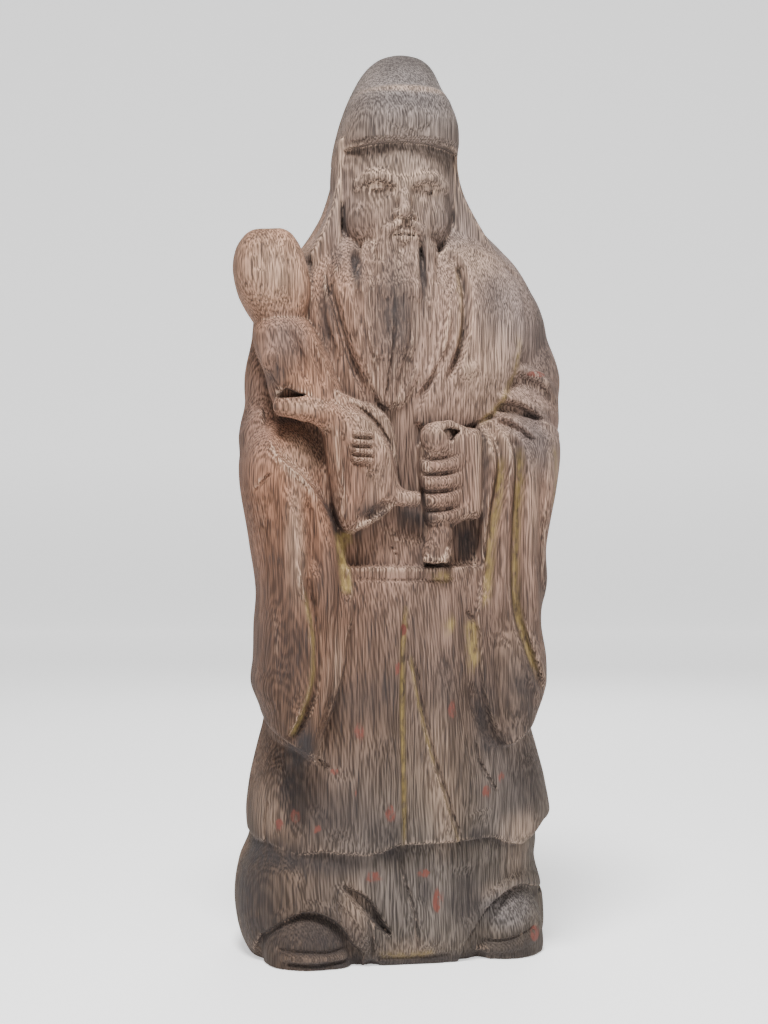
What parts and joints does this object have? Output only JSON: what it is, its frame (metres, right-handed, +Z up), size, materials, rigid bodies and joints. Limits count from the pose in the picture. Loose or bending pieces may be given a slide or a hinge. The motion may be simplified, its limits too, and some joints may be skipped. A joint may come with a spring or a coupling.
{
  "type": "carved figure group",
  "caption": "Weathered wooden carving of a standing bearded elder in a domed cap and long-sleeved robes who holds a small child on his arm, cut from a log with a flat underside.",
  "frame": {"origin": "middle of the log on the flat underside", "axes": "+Z up along the log, the figure faces -Y, +X is on the right of someone who faces the figure"},
  "size_m": [0.3004, 0.2146, 0.7995],
  "materials": {
    "wood": "bare weathered wood, matte, with remnants of old paint in the grooves"
  },
  "bodies": {
    "root": {"figure_group": "wood"}
  },
  "joints": []
}
